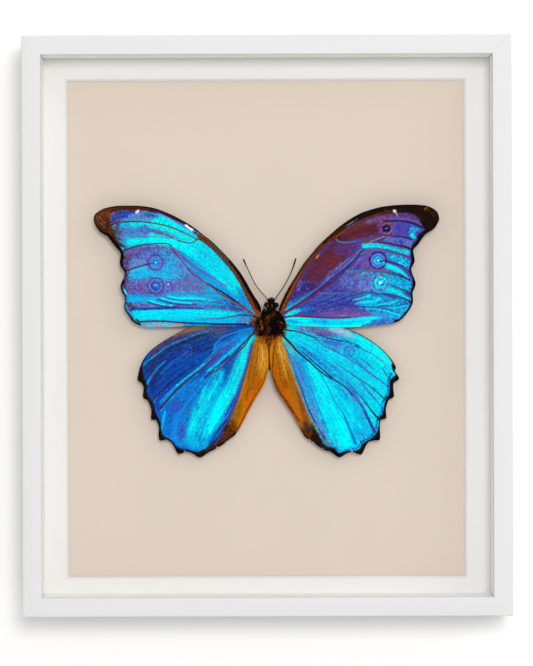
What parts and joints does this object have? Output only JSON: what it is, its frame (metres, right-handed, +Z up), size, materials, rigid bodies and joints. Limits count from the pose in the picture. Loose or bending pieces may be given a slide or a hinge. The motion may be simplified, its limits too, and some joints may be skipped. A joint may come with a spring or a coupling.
{
  "type": "framed butterfly specimen",
  "caption": "Spread blue butterfly in a white box frame: glass front, window mat and beige card, with flexible back tabs and a sawtooth hanger.",
  "frame": {"origin": "centre of the rear face of the hanger's raised strip, on the frame's middle line", "axes": "+Y out of the hanger's rear face towards the wall, +Z up along the long side, front faces -Y, +X to the viewer's right"},
  "size_m": [0.21, 0.03, 0.249],
  "materials": {
    "white_lacquer": "white satin lacquer",
    "clear_glass": "clear, polished",
    "white_card": "matt white",
    "beige_card": "matt beige",
    "brown_board": "plain brown hardboard",
    "zinc_steel": "zinc plated",
    "foam_pad": "off-white pad",
    "dark_hair": "dark hairy insect cuticle",
    "blue_scale": "blue iridescent wing scales"
  },
  "bodies": {
    "root": {"rail_top": "white_lacquer", "rail_bottom": "white_lacquer", "rail_left": "white_lacquer", "rail_right": "white_lacquer", "glass": "clear_glass", "spacer_top": "white_card", "spacer_bottom": "white_card", "spacer_left": "white_card", "spacer_right": "white_card", "mat": "white_card", "mount_card": "beige_card", "back_board": "brown_board", "tab_top_1": "zinc_steel", "tab_top_2": "zinc_steel", "tab_bottom_1": "zinc_steel", "tab_bottom_2": "zinc_steel", "tab_left_1": "zinc_steel", "tab_left_2": "zinc_steel", "tab_right_1": "zinc_steel", "tab_right_2": "zinc_steel", "hanger": "zinc_steel", "rivet_left": "zinc_steel", "rivet_right": "zinc_steel", "mounting_pad": "foam_pad", "butterfly_body": "dark_hair", "forewing_left": "blue_scale", "hindwing_left": "blue_scale", "antenna_left": "dark_hair", "forewing_right": "blue_scale", "hindwing_right": "blue_scale", "antenna_right": "dark_hair"}
  },
  "joints": []
}
